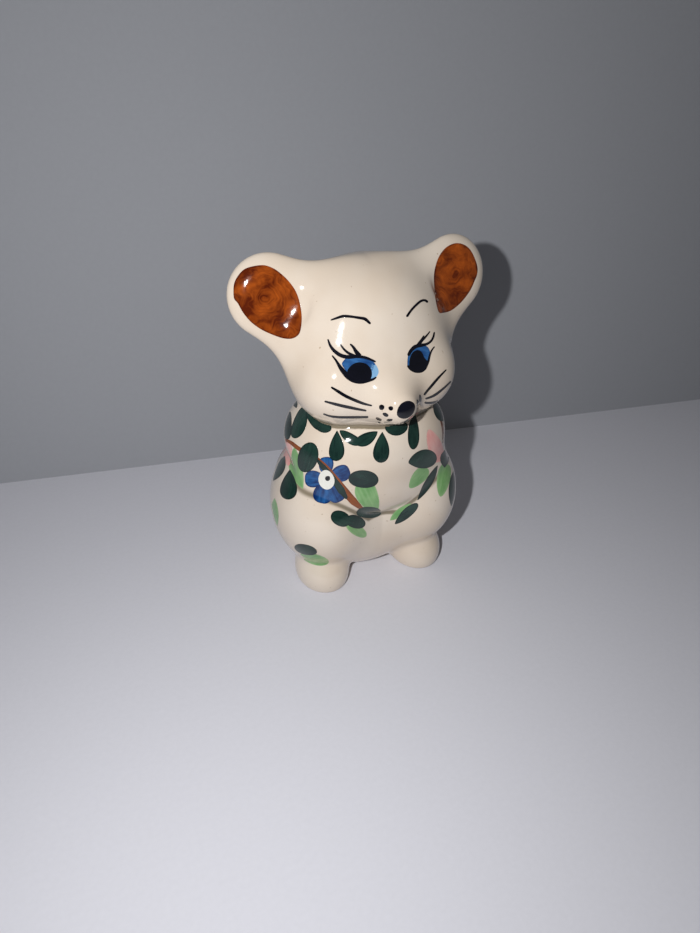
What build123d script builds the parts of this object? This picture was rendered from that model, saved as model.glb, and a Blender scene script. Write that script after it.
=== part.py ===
from build123d import *

import os
from math import asin, cos, degrees, radians, sin

# A small glazed ceramic mouse that sits upright, with its forearms folded under its chin.
# The belly, the chest and the head are hollow forms. The haunches, feet and ears are solid
# pieces of the same clay, and all of them are joined with slip before the firing.
# Millimetres, +Z up. The mouse faces -Y, so its own left is +X. The origin is on the table,
# midway between the tip of the nose and the back of the rump.

os.makedirs("parts", exist_ok=True)

# Overall
figure_depth = 50.2  # from the tip of the nose to the back of the rump
wall = 3.4  # thickness of the hollow forms
vent_diameter = 3.5  # air hole from the base up into the head
overrun = 2.0  # how far a cutting tool runs past what it cuts

# Belly
belly_width = 46.0
belly_depth = 41.8
belly_height = 45.6  # before its lower end is cut flat to stand on
belly_lift_share = 0.788  # the middle's height above the table, of half the height

# Haunches
haunch_width = 25.2
haunch_depth = 30.6
haunch_height = 33.8
haunch_place_shares = (0.58, -0.416, 0.154)  # from the belly's middle, of half its sizes

# Feet
foot_width = 14.7
foot_depth = 18.4
foot_height = 16.4  # before the sole is cut flat
foot_place_shares = (0.617, -0.624)  # from the belly's middle, of half its width and depth
foot_lift_share = 0.362  # the middle's height above the table, of half the foot's height

# Chest, which is the shoulders and the folded forearms
shoulder_width = 43.0
shoulder_depth = 36.2
shoulder_height = 29.0
shoulder_place_shares = (0.0, -0.325, 1.034)  # from the belly's middle, of half its sizes
forearm_width = 42.4
forearm_depth = 21.0
forearm_height = 21.8
forearm_place_shares = (0.0, -0.357, -0.663)  # from the shoulders' middle, of half their sizes
forearm_lean_angle = 16.0  # the forearms lean forward at their lower edge

# Head
cranium_width = 41.5
cranium_depth = 32.5
cranium_height = 38.0
neck_sink = 7.6  # how deep the cranium sits in the top of the shoulders
cranium_behind_muzzle_share = 0.65  # from the muzzle's root, of half the cranium's depth
jowl_width = 40.3  # across both cheeks
jowl_depth = 20.6
jowl_height = 20.2
jowl_place_shares = (0.0, -0.592, -0.412)  # from the cranium's middle, of half its sizes
muzzle_length = 11.6  # from the middle of its root to the middle of the nose
muzzle_diameter = 21.5
muzzle_drop_share = 0.454  # below the cranium's middle, of half the cranium's height
nose_diameter = 9.5

# Ears
ear_place_shares = (0.613, -0.215, 0.327)  # the ear's root, from the cranium's middle
ear_root_width = 23.0
ear_tip_width = 19.0
ear_reach = 12.4  # from the middle of the root to the middle of the round tip
ear_thickness = 5.7
ear_rise_angle = 30.5  # how steeply the ears stand out from the head
ear_yaw_angle = 8.0  # how far they open to the sides
ear_tilt_angle = 16.0  # how far they lean back
dish_length = 19.0
dish_width = 15.4
dish_height = 5.2
dish_depth = 1.0  # at its deepest, below the face of the ear
dish_place_share = 0.80  # the dish's middle, of the ear's reach

# Places worked out from the sizes above
nose_place_y = (nose_diameter - figure_depth) / 2
muzzle_place_y = nose_place_y + muzzle_length
belly_place = Vector(0, (figure_depth - belly_depth) / 2, belly_lift_share * belly_height / 2)


def beside(place, sizes, shares):
    """The place that lies `shares` of the half sizes away from another place."""
    return place + Vector(*(size * share / 2 for size, share in zip(sizes, shares)))


belly_sizes = (belly_width, belly_depth, belly_height)
shoulder_place = beside(belly_place, belly_sizes, shoulder_place_shares)
shoulder_sizes = (shoulder_width, shoulder_depth, shoulder_height)
forearm_place = beside(shoulder_place, shoulder_sizes, forearm_place_shares)
haunch_place = beside(belly_place, belly_sizes, haunch_place_shares)
foot_ground_place = beside(belly_place, belly_sizes, foot_place_shares)
foot_place = Vector(foot_ground_place.X, foot_ground_place.Y, foot_lift_share * foot_height / 2)
cranium_place = Vector(
    0,
    muzzle_place_y + cranium_behind_muzzle_share * cranium_depth / 2,
    shoulder_place.Z + (shoulder_height + cranium_height) / 2 - neck_sink,
)
cranium_sizes = (cranium_width, cranium_depth, cranium_height)
jowl_place = beside(cranium_place, cranium_sizes, jowl_place_shares)
muzzle_place_z = cranium_place.Z - muzzle_drop_share * cranium_height / 2


def ellipsoid(sizes, grow=0):
    """An ellipsoid about the origin, with every half size made larger by `grow`."""
    with BuildPart() as form:
        Sphere(radius=1)
        scale(by=tuple(size / 2 + grow for size in sizes))
    return form.part


def round_cone(root_diameter, tip_diameter, reach, grow=0):
    """A ball about the origin that tapers to a smaller ball, `reach` away along +X."""
    root, tip = root_diameter / 2 + grow, tip_diameter / 2 + grow
    lean = degrees(asin((root - tip) / reach))
    with BuildPart() as form:
        with BuildSketch(Plane.XZ):
            with BuildLine():
                root_arc = CenterArc((0, 0), root, 180, -90 - lean)
                tip_arc = CenterArc((reach, 0), tip, 90 - lean, lean - 90)
                Line(root_arc @ 1, tip_arc @ 0)
                Line(tip_arc @ 1, root_arc @ 0)
            make_face()
        revolve(axis=Axis.X)
    return form.part


def belly_form(grow=0):
    with BuildPart() as form:
        with Locations(belly_place):
            add(ellipsoid(belly_sizes, grow))
    return form.part


def haunch_form(facing):
    with BuildPart() as form:
        with Locations((facing * haunch_place.X, haunch_place.Y, haunch_place.Z)):
            add(ellipsoid((haunch_width, haunch_depth, haunch_height)))
    return form.part


def chest_form(grow=0):
    with BuildPart() as form:
        with Locations(shoulder_place):
            add(ellipsoid(shoulder_sizes, grow))
        with Locations(Location(forearm_place, (-forearm_lean_angle, 0, 0))):
            add(ellipsoid((forearm_width, forearm_depth, forearm_height), grow))
    return form.part


def head_form(grow=0):
    with BuildPart() as form:
        with Locations(cranium_place):
            add(ellipsoid(cranium_sizes, grow))
        with Locations(jowl_place):
            add(ellipsoid((jowl_width, jowl_depth, jowl_height), grow))
        with Locations(Location((0, muzzle_place_y, muzzle_place_z), (0, 0, -90))):
            add(round_cone(muzzle_diameter, nose_diameter, muzzle_length, grow))
    return form.part


def vent():
    """The air hole, from below the base up into the hollow of the head."""
    with BuildPart() as hole:
        with Locations((0, belly_place.Y, -overrun)):
            Cylinder(
                radius=vent_diameter / 2,
                height=cranium_place.Z + overrun,
                align=(Align.CENTER, Align.CENTER, Align.MIN),
            )
    return hole.part


def belly_hollow():
    with BuildPart() as hollow:
        add(belly_form(-wall))
        add(chest_form(wall), mode=Mode.SUBTRACT)
        split(bisect_by=Plane.XY.offset(wall), keep=Keep.TOP)
    return hollow.part


def chest_hollow():
    with BuildPart() as hollow:
        with Locations(shoulder_place):
            add(ellipsoid(shoulder_sizes, -wall))
        add(head_form(wall), mode=Mode.SUBTRACT)
    return hollow.part


# Belly: it takes the chest in a dent in its top, and stands on a flat base
with BuildPart() as belly:
    add(belly_form())
    add(chest_form(), mode=Mode.SUBTRACT)
    add(belly_hollow(), mode=Mode.SUBTRACT)
    add(vent(), mode=Mode.SUBTRACT)
    split(bisect_by=Plane.XY, keep=Keep.TOP)
belly.part.label = "belly"
export_step(belly.part, "parts/belly.step")

# Chest: the shoulders and the folded forearms, with a seat for the head
with BuildPart() as chest:
    add(chest_form())
    add(head_form(), mode=Mode.SUBTRACT)
    add(chest_hollow(), mode=Mode.SUBTRACT)
    add(vent(), mode=Mode.SUBTRACT)
chest.part.label = "chest"
export_step(chest.part, "parts/chest.step")

# Head: the cranium, the jowls and the muzzle in one hollow form
with BuildPart() as head:
    add(head_form())
    add(head_form(-wall), mode=Mode.SUBTRACT)
    add(vent(), mode=Mode.SUBTRACT)
head.part.label = "head"
export_step(head.part, "parts/head.step")

for side, facing in (("left", 1), ("right", -1)):
    # Haunch: a lens of clay on the side of the belly
    with BuildPart() as haunch:
        add(haunch_form(facing))
        add(belly_form(), mode=Mode.SUBTRACT)
        add(chest_form(), mode=Mode.SUBTRACT)
    haunch.part.label = f"haunch_{side}"
    export_step(haunch.part, f"parts/haunch_{side}.step")

    # Foot: a toe of clay in front of the haunch, with a flat sole
    with BuildPart() as foot:
        with Locations((facing * foot_place.X, foot_place.Y, foot_place.Z)):
            add(ellipsoid((foot_width, foot_depth, foot_height)))
        add(belly_form(), mode=Mode.SUBTRACT)
        add(haunch_form(facing), mode=Mode.SUBTRACT)
        split(bisect_by=Plane.XY, keep=Keep.TOP)
    foot.part.label = f"foot_{side}"
    export_step(foot.part, f"parts/foot_{side}.step")

    # Ear: a flat paddle with a shallow dish in its face
    yaw, tilt, rise = radians(ear_yaw_angle), radians(ear_tilt_angle), radians(ear_rise_angle)
    ear_place = beside(cranium_place, cranium_sizes, ear_place_shares)
    ear_plane = Plane(
        origin=(facing * ear_place.X, ear_place.Y, ear_place.Z),
        x_dir=(facing * cos(rise), 0, sin(rise)),
        z_dir=(facing * sin(yaw), -cos(yaw) * cos(tilt), sin(tilt)),
    )
    dish_place = (dish_place_share * ear_reach, 0, (ear_thickness + dish_height) / 2 - dish_depth)
    with BuildPart() as ear:
        add(round_cone(ear_root_width, ear_tip_width, ear_reach))
        scale(by=(1, 1, ear_thickness / ear_tip_width))
        with Locations(dish_place):
            add(ellipsoid((dish_length, dish_width, dish_height)), mode=Mode.SUBTRACT)
    with BuildPart() as seated_ear:
        with Locations(ear_plane.location):
            add(ear.part)
        add(head_form(), mode=Mode.SUBTRACT)
    seated_ear.part.label = f"ear_{side}"
    export_step(seated_ear.part, f"parts/ear_{side}.step")
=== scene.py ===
import math
import random

import bpy
import numpy as np
from mathutils import Matrix, Vector
from mathutils.bvhtree import BVHTree
from mathutils.geometry import delaunay_2d_cdt
from mathutils.interpolate import poly_3d_calc


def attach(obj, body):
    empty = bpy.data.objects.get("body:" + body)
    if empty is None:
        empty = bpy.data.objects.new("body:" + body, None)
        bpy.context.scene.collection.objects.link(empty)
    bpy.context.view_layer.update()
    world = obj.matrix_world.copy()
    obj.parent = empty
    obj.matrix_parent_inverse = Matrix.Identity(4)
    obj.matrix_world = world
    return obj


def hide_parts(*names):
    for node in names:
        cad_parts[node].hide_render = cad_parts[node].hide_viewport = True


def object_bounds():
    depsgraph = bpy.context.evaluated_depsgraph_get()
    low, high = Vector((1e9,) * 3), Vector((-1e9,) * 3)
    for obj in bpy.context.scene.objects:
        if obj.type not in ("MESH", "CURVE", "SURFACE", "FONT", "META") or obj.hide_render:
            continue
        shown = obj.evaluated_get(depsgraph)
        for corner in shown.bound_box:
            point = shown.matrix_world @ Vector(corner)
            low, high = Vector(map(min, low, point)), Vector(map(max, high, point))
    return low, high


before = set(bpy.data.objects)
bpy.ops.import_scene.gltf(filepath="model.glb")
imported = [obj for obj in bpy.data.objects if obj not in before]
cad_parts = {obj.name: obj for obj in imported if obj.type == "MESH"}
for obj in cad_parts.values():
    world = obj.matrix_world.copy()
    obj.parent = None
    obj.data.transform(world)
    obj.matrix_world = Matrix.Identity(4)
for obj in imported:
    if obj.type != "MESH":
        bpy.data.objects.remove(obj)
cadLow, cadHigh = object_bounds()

mm = 0.001
print("frame loaded, CAD box", [round(v, 4) for v in (*cadLow, *cadHigh)])

# Camera, at the place from which the picture was taken
cameraSet = {
    "swing": -22.35,          # degrees round the figure, from straight in front
    "lift": 35.2,             # degrees above level
    "roll": 1.69,
    "distance": 183.2,        # mm, from the middle of the head and body
    "aim": (0.0, 0.8, 47.9),  # mm
    "slideRight": -2.85,      # mm
    "slideUp": -17.08,
    "focalPixels": 701.0,
    "imageSize": (700.0, 933.0),
    "sensorWidth": 36.0,
    "nearest": 0.01, "farthest": 20.0,  # metres
}


def cameraAxes(view):
    swing, lift, roll = (math.radians(view[k]) for k in ("swing", "lift", "roll"))
    right = Vector((math.cos(swing), math.sin(swing), 0.0))
    ahead = Vector((-math.sin(swing) * math.cos(lift), math.cos(swing) * math.cos(lift), -math.sin(lift)))
    up = right.cross(ahead)
    turnedRight = right * math.cos(roll) + up * math.sin(roll)
    turnedUp = up * math.cos(roll) - right * math.sin(roll)
    return turnedRight, turnedUp, ahead


def cameraPlace(view):
    right, up, ahead = cameraAxes(view)
    aim = Vector(view["aim"])
    return (aim - ahead * view["distance"] + right * view["slideRight"] + up * view["slideUp"]) * mm


def makeCamera(view):
    right, up, ahead = cameraAxes(view)
    data = bpy.data.cameras.new("photoCamera")
    data.sensor_width = view["sensorWidth"]
    data.lens = data.sensor_width * view["focalPixels"] / view["imageSize"][1]  # the long side is the height
    data.clip_start, data.clip_end = view["nearest"], view["farthest"]
    camera = bpy.data.objects.new("photoCamera", data)
    turn = Matrix((right, up, -ahead)).transposed().to_4x4()
    camera.matrix_world = Matrix.Translation(cameraPlace(view)) @ turn
    bpy.context.scene.collection.objects.link(camera)
    bpy.context.scene.camera = camera


makeCamera(cameraSet)
print("camera set")

# Small helpers that write node trees


def plug(tree, socket, value):
    if isinstance(value, bpy.types.NodeSocket):
        tree.links.new(value, socket)
    else:
        socket.default_value = value


def number(tree, operation, *values):
    node = tree.nodes.new("ShaderNodeMath")
    node.operation = operation
    for socket, value in zip(node.inputs, values):
        plug(tree, socket, value)
    return node.outputs[0]


def vector(tree, operation, *values, scale=None):
    node = tree.nodes.new("ShaderNodeVectorMath")
    node.operation = operation
    for socket, value in zip(node.inputs, values):
        plug(tree, socket, value)
    if scale is not None:
        plug(tree, node.inputs["Scale"], scale)
    isNumber = operation in ("LENGTH", "DOT_PRODUCT", "DISTANCE")
    return node.outputs["Value" if isNumber else "Vector"]


def joined(tree, x=0.0, y=0.0, z=0.0):
    node = tree.nodes.new("ShaderNodeCombineXYZ")
    for socket, value in zip(node.inputs, (x, y, z)):
        plug(tree, socket, value)
    return node.outputs[0]


def parted(tree, value):
    node = tree.nodes.new("ShaderNodeSeparateXYZ")
    plug(tree, node.inputs[0], value)
    return node.outputs


def socketKind(value):
    return "NodeSocketVector" if isinstance(value, tuple) else "NodeSocketFloat"


def fieldGroup(name, inputs, *more):
    tree = bpy.data.node_groups.new(name, "GeometryNodeTree")
    for title, example in inputs.items():
        tree.interface.new_socket(title, in_out="INPUT", socket_type=socketKind(example))
    for title in ("Distance", *more):
        tree.interface.new_socket(title, in_out="OUTPUT", socket_type="NodeSocketFloat")
    given = tree.nodes.new("NodeGroupInput").outputs
    results = tree.nodes.new("NodeGroupOutput").inputs
    return tree, given, results if more else results[0]


def useGroup(tree, inner, values):
    node = tree.nodes.new("GeometryNodeGroup")
    node.node_tree = inner
    for title, value in values.items():
        plug(tree, node.inputs[title], value)
    return node.outputs if len(node.outputs) > 1 else node.outputs[0]


# Sizes of the clay forms, in mm, close to the part's own. "Blend" is how widely a form runs into the next.
headForm = {
    "Cranium Middle": (0.0, 1.74, 67.42),
    "Cranium Half": (20.74, 16.23, 18.99),
    "Cheek Middle": (10.48, -7.88, 59.60),
    "Cheek Radius": 9.65,
    "Cheek Blend": 9.6,
    "Muzzle Root": (0.0, -8.78, 58.97),
    "Muzzle Tip": (0.0, -20.24, 58.64),
    "Muzzle Radius": 10.78,
    "Nose Radius": 4.74,
    "Muzzle Blend": 8.5,
    "Neck Blend": 1.7,
}
earForm = {
    "Ear Root": (12.72, -1.76, 73.64),
    "Ear Tip": (23.76, -1.76, 80.13),
    "Ear Root Radius": 11.54,
    "Ear Tip Radius": 9.52,
    "Ear Half Thickness": 2.84,
    "Ear Blend": 7.5,
    "Dish Half": (7.8, 7.3, 2.6),
    "Dish Depth": 0.6,
    "Dish Blend": 2.4,
}
bodyForm = {
    "Shoulder Middle": (0.0, -2.56, 41.55),
    "Shoulder Half": (21.53, 18.07, 14.51),
    "Forearm Middle": (0.0, -9.02, 31.95),
    "Forearm Half": (21.17, 10.48, 10.93),
    "Forearm Blend": 7.5,
    "Chest Blend": 1.2,
    "Belly Middle": (0.0, 4.24, 17.97),
    "Belly Half": (23.0, 20.78, 22.8),
    "Haunch Middle": (13.35, -4.45, 21.48),
    "Haunch Half": (12.61, 15.31, 16.91),
    "Haunch Blend": 8.5,
    "Foot Middle": (14.18, -8.79, 2.97),
    "Foot Half": (7.36, 9.22, 8.22),
    "Foot Blend": 3.2,
    "Base Blend": 1.2,
    "Vent Middle": (0.0, 4.2, 0.0),
    "Vent Radius": 1.75,
    "Vent Depth": 9.0,
}
turns = {
    "Ear Face": (0.1422, -0.9504, 0.2792),  # the way the dish looks, on the mouse's left ear
    "Dish Share": 0.92,                     # how far out along the ear the dish's middle is
    "Forearm Lean": 0.277,
}
skinSet = {"step": 0.5, "probe": 0.02, "room": 2.0, "reachOut": 2.2}
regions = ("Head", "Ear", "Chest", "Belly", "Haunch", "Foot")


def inMetres(sizes):
    def scaled(value):
        return tuple(v * mm for v in value) if isinstance(value, tuple) else value * mm
    return {title: scaled(value) for title, value in sizes.items()}


def ellipsoidGroup():
    inputs = {"Point": (0,), "Middle": (0,), "Half": (0,), "Lean": 0.0}
    tree, given, result = fieldGroup("ellipsoidDistance", inputs)
    away = vector(tree, "SUBTRACT", given["Point"], given["Middle"])
    turn = tree.nodes.new("ShaderNodeVectorRotate")
    turn.rotation_type = "X_AXIS"
    plug(tree, turn.inputs["Vector"], away)
    plug(tree, turn.inputs["Angle"], given["Lean"])
    once = vector(tree, "DIVIDE", turn.outputs[0], given["Half"])
    twice = vector(tree, "DIVIDE", once, given["Half"])
    share = vector(tree, "LENGTH", once)
    reach = number(tree, "DIVIDE", share, vector(tree, "LENGTH", twice))
    reach = number(tree, "MAXIMUM", reach, mm)
    plug(tree, result, number(tree, "MULTIPLY", number(tree, "SUBTRACT", share, 1.0), reach))
    return tree


def taperGroup():
    # a ball that tapers in a straight cone to a smaller ball
    inputs = {"Point": (0,), "Start": (0,), "End": (0,), "Start Radius": 0.0, "End Radius": 0.0}
    tree, given, result = fieldGroup("taperDistance", inputs)
    run = vector(tree, "SUBTRACT", given["End"], given["Start"])
    length = vector(tree, "LENGTH", run)
    axis = vector(tree, "NORMALIZE", run)
    away = vector(tree, "SUBTRACT", given["Point"], given["Start"])
    along = vector(tree, "DOT_PRODUCT", away, axis)
    aside = vector(tree, "LENGTH", vector(tree, "SUBTRACT", away, vector(tree, "SCALE", axis, scale=along)))
    shrink = number(tree, "SUBTRACT", given["Start Radius"], given["End Radius"])
    taper = number(tree, "DIVIDE", shrink, length)
    slope = number(tree, "TANGENT", number(tree, "ARCSINE", taper))
    seat = number(tree, "SUBTRACT", along, number(tree, "MULTIPLY", aside, slope))
    seat = number(tree, "MINIMUM", number(tree, "MAXIMUM", seat, 0.0), length)
    gap = vector(tree, "LENGTH", vector(tree, "SUBTRACT", away, vector(tree, "SCALE", axis, scale=seat)))
    radius = number(tree, "SUBTRACT", given["Start Radius"], number(tree, "MULTIPLY", taper, seat))
    plug(tree, result, number(tree, "SUBTRACT", gap, radius))
    return tree


def figureGroup(sizes):
    tree, given, results = fieldGroup("figureDistance", {"Point": (0,), **sizes}, *regions)
    ball, taper = ellipsoidGroup(), taperGroup()
    point = given["Point"]
    x, y, z = parted(tree, point)
    paired = joined(tree, number(tree, "ABSOLUTE", x), y, z)  # one form serves both sides

    def form(name, where=point, lean=0.0):
        values = {"Point": where, "Middle": given[name + " Middle"], "Half": given[name + " Half"], "Lean": lean}
        return useGroup(tree, ball, values)

    def merge(one, other, title):
        return number(tree, "SMOOTH_MIN", one, other, given[title])

    def carve(one, other, title):
        return number(tree, "SMOOTH_MAX", one, number(tree, "MULTIPLY", other, -1.0), given[title])

    # head
    cheekGap = vector(tree, "DISTANCE", paired, given["Cheek Middle"])
    cheek = number(tree, "SUBTRACT", cheekGap, given["Cheek Radius"])
    head = merge(form("Cranium"), cheek, "Cheek Blend")
    muzzle = useGroup(tree, taper, {
        "Point": point, "Start": given["Muzzle Root"], "End": given["Muzzle Tip"],
        "Start Radius": given["Muzzle Radius"], "End Radius": given["Nose Radius"]})
    head = merge(head, muzzle, "Muzzle Blend")
    plug(tree, results["Head"], head)

    # ear: its own directions run out along the paddle, across it and through its face
    face = vector(tree, "NORMALIZE", given["Ear Face"])
    run = vector(tree, "SUBTRACT", given["Ear Tip"], given["Ear Root"])
    slant = vector(tree, "DOT_PRODUCT", run, face)
    out = vector(tree, "NORMALIZE", vector(tree, "SUBTRACT", run, vector(tree, "SCALE", face, scale=slant)))
    across = vector(tree, "CROSS_PRODUCT", face, out)
    reach = vector(tree, "DOT_PRODUCT", run, out)
    away = vector(tree, "SUBTRACT", paired, given["Ear Root"])
    alongOut, alongAcross, alongFace = (vector(tree, "DOT_PRODUCT", away, w) for w in (out, across, face))
    press = number(tree, "DIVIDE", given["Ear Tip Radius"], given["Ear Half Thickness"])
    ear = useGroup(tree, taper, {
        "Point": joined(tree, alongOut, alongAcross, number(tree, "MULTIPLY", alongFace, press)),
        "Start": (0.0, 0.0, 0.0), "End": joined(tree, reach),
        "Start Radius": given["Ear Root Radius"], "End Radius": given["Ear Tip Radius"]})
    ear = number(tree, "DIVIDE", ear, number(tree, "MULTIPLY", number(tree, "ADD", press, 1.0), 0.5))
    plug(tree, results["Ear"], ear)
    head = merge(head, ear, "Ear Blend")
    dishHigh = number(tree, "ADD", given["Ear Half Thickness"], parted(tree, given["Dish Half"])[2])
    dish = useGroup(tree, ball, {
        "Point": joined(tree, alongOut, alongAcross, alongFace), "Half": given["Dish Half"],
        "Middle": joined(tree, number(tree, "MULTIPLY", reach, given["Dish Share"]), 0.0,
                         number(tree, "SUBTRACT", dishHigh, given["Dish Depth"]))})
    head = carve(head, dish, "Dish Blend")

    # body
    chest = merge(form("Shoulder"), form("Forearm", lean=given["Forearm Lean"]), "Forearm Blend")
    belly, haunch, foot = form("Belly"), form("Haunch", paired), form("Foot", paired)
    for title, value in zip(regions[2:], (chest, belly, haunch, foot)):
        plug(tree, results[title], value)
    body = merge(chest, merge(belly, haunch, "Haunch Blend"), "Chest Blend")
    body = merge(body, foot, "Foot Blend")
    body = carve(body, z, "Base Blend")  # cut flat to stand on
    whole = merge(head, body, "Neck Blend")

    # air hole in the base
    fromVent = vector(tree, "MULTIPLY", vector(tree, "SUBTRACT", point, given["Vent Middle"]), (1.0, 1.0, 0.0))
    vent = number(tree, "SUBTRACT", vector(tree, "LENGTH", fromVent), given["Vent Radius"])
    vent = number(tree, "MAXIMUM", vent, number(tree, "SUBTRACT", z, given["Vent Depth"]))
    plug(tree, results["Distance"], carve(whole, vent, "Base Blend"))
    return tree


def skinTree(sizes, low, high):
    figure = figureGroup(sizes)
    tree = bpy.data.node_groups.new("mouseSkin", "GeometryNodeTree")
    tree.is_modifier = True
    face = tree.interface
    face.new_socket("Geometry", in_out="OUTPUT", socket_type="NodeSocketGeometry")
    face.new_socket("Geometry", in_out="INPUT", socket_type="NodeSocketGeometry")
    for title, value in sizes.items():
        face.new_socket(title, in_out="INPUT", socket_type=socketKind(value))
    for title in ("Grid Step", "Probe", "Reach Out"):
        face.new_socket(title, in_out="INPUT", socket_type="NodeSocketFloat")
    face.new_socket("Material", in_out="INPUT", socket_type="NodeSocketMaterial")
    given = tree.nodes.new("NodeGroupInput").outputs

    def distances(where):
        return useGroup(tree, figure, {"Point": where, **{title: given[title] for title in sizes}})

    def distance(where):
        return distances(where)["Distance"]

    # a block of small cells, each with its depth below the surface in mm
    here = tree.nodes.new("GeometryNodeInputPosition").outputs[0]
    block = tree.nodes.new("GeometryNodeVolumeCube")
    plug(tree, block.inputs["Density"], number(tree, "SUBTRACT", 1.0, number(tree, "DIVIDE", distance(here), mm)))
    block.inputs["Min"].default_value = low
    block.inputs["Max"].default_value = high
    for axis, letter in enumerate("XYZ"):
        count = number(tree, "DIVIDE", high[axis] - low[axis], given["Grid Step"])
        plug(tree, block.inputs["Resolution " + letter], count)
    wrap = tree.nodes.new("GeometryNodeVolumeToMesh")
    wrap.resolution_mode = "GRID"
    wrap.inputs["Threshold"].default_value = 1.0
    tree.links.new(block.outputs[0], wrap.inputs[0])
    shape = wrap.outputs[0]

    # each point then slides straight onto the true surface, twice
    for _ in range(2):
        gap = distance(here)
        rise = []
        for axis in range(3):
            step = joined(tree, *(given["Probe"] if axis == k else 0.0 for k in range(3)))
            beside = distance(vector(tree, "ADD", here, step))
            rise.append(number(tree, "DIVIDE", number(tree, "SUBTRACT", beside, gap), given["Probe"]))
        rise = joined(tree, *rise)
        steep = vector(tree, "DOT_PRODUCT", rise, rise)
        back = number(tree, "DIVIDE", number(tree, "MULTIPLY", gap, -1.0), steep)
        move = tree.nodes.new("GeometryNodeSetPosition")
        tree.links.new(shape, move.inputs["Geometry"])
        plug(tree, move.inputs["Offset"], vector(tree, "SCALE", rise, scale=back))
        shape = move.outputs[0]

    # what the cutting and the glaze need to know at each point
    def keep(title, kind, value):
        store = tree.nodes.new("GeometryNodeStoreNamedAttribute")
        store.data_type, store.domain = kind, "POINT"
        store.inputs["Name"].default_value = title
        tree.links.new(shape, store.inputs["Geometry"])
        tree.links.new(value, store.inputs["Value"])
        return store.outputs[0]

    # how far a point just outside is from the clay tells a crease from a crown
    normal = tree.nodes.new("GeometryNodeInputNormal").outputs[0]
    outside = vector(tree, "ADD", here, vector(tree, "SCALE", normal, scale=given["Reach Out"]))
    crease = number(tree, "SUBTRACT", 1.0, number(tree, "DIVIDE", distance(outside), given["Reach Out"]))
    shape = keep("crease", "FLOAT", crease)
    gaps = distances(here)
    for title in regions:
        shape = keep("near" + title, "FLOAT", gaps[title])
    steps = []
    for axis in range(3):
        step = joined(tree, *(given["Probe"] if axis == k else 0.0 for k in range(3)))
        ahead, behind = (distance(vector(tree, w, here, step)) for w in ("ADD", "SUBTRACT"))
        steps.append(number(tree, "SUBTRACT", ahead, behind))
    shape = keep("outward", "FLOAT_VECTOR", vector(tree, "NORMALIZE", joined(tree, *steps)))

    smooth = tree.nodes.new("GeometryNodeSetShadeSmooth")
    tree.links.new(shape, smooth.inputs["Geometry"])
    real = tree.nodes.new("GeometryNodeRealizeInstances")
    tree.links.new(smooth.outputs[0], real.inputs[0])
    dress = tree.nodes.new("GeometryNodeSetMaterial")
    tree.links.new(real.outputs[0], dress.inputs["Geometry"])
    tree.links.new(given["Material"], dress.inputs["Material"])
    tree.links.new(dress.outputs[0], tree.nodes.new("NodeGroupOutput").inputs[0])
    return tree


def setInput(modifier, title, value):
    for item in modifier.node_group.interface.items_tree:
        if item.item_type == "SOCKET" and item.in_out == "INPUT" and item.name == title:
            modifier[item.identifier] = value


def skinMesh(material):
    sizes = {**inMetres({**headForm, **earForm, **bodyForm}), **turns}
    room = Vector.Fill(3, skinSet["room"] * mm)
    tree = skinTree(sizes, Vector(cadLow) - room, Vector(cadHigh) + room)
    seed = bpy.data.objects.new("skinSeed", bpy.data.meshes.new("skinSeed"))
    bpy.context.scene.collection.objects.link(seed)
    maker = seed.modifiers.new("mouseSkin", "NODES")
    maker.node_group = tree
    for title, value in sizes.items():
        setInput(maker, title, value)
    setInput(maker, "Grid Step", skinSet["step"] * mm)
    setInput(maker, "Probe", skinSet["probe"] * mm)
    setInput(maker, "Reach Out", skinSet["reachOut"] * mm)
    setInput(maker, "Material", material)
    shape = seed.evaluated_get(bpy.context.evaluated_depsgraph_get())
    mesh = bpy.data.meshes.new_from_object(shape)
    seed.modifiers.clear()
    bpy.data.objects.remove(seed)
    return mesh


# Materials


def shade(red, green, blue):
    # a colour as it is seen, 0 to 255, turned into the light that Blender counts in
    parts = (v / 255 for v in (red, green, blue))
    return (*(v / 12.92 if v < 0.04045 else ((v + 0.055) / 1.055) ** 2.4 for v in parts), 1.0)


def shaderGroup(name, inputs, outputs):
    tree = bpy.data.node_groups.new(name, "ShaderNodeTree")
    kinds = {"colour": "NodeSocketColor", "number": "NodeSocketFloat", "vector": "NodeSocketVector"}
    for title, kind in inputs.items():
        tree.interface.new_socket(title, in_out="INPUT", socket_type=kinds[kind])
    for title, kind in outputs.items():
        tree.interface.new_socket(title, in_out="OUTPUT", socket_type=kinds[kind])
    return tree, tree.nodes.new("NodeGroupInput").outputs, tree.nodes.new("NodeGroupOutput").inputs


def noise(tree, where, scale, detail=2.0, roughness=0.5):
    node = tree.nodes.new("ShaderNodeTexNoise")
    plug(tree, node.inputs["Vector"], where)
    plug(tree, node.inputs["Scale"], scale)
    node.inputs["Detail"].default_value = detail
    node.inputs["Roughness"].default_value = roughness
    return node.outputs[0]


def ramp(tree, value, low, high, start=0.0, end=1.0):
    # a value's soft step between two others
    node = tree.nodes.new("ShaderNodeMapRange")
    node.interpolation_type = "SMOOTHSTEP"
    for socket, given in zip(node.inputs, (value, low, high, start, end)):
        plug(tree, socket, given)
    return node.outputs[0]


def mixed(tree, share, one, other):
    # the sixth and seventh sockets are the two colours
    node = tree.nodes.new("ShaderNodeMix")
    node.data_type = "RGBA"
    for socket, value in zip((node.inputs[0], node.inputs[6], node.inputs[7]), (share, one, other)):
        plug(tree, socket, value)
    return node.outputs[2]


def attribute(tree, name, output="Fac"):
    node = tree.nodes.new("ShaderNodeAttribute")
    node.attribute_name = name
    return node.outputs[output]


def objectPlace(tree):
    return tree.nodes.new("ShaderNodeTexCoord").outputs["Object"]


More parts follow.
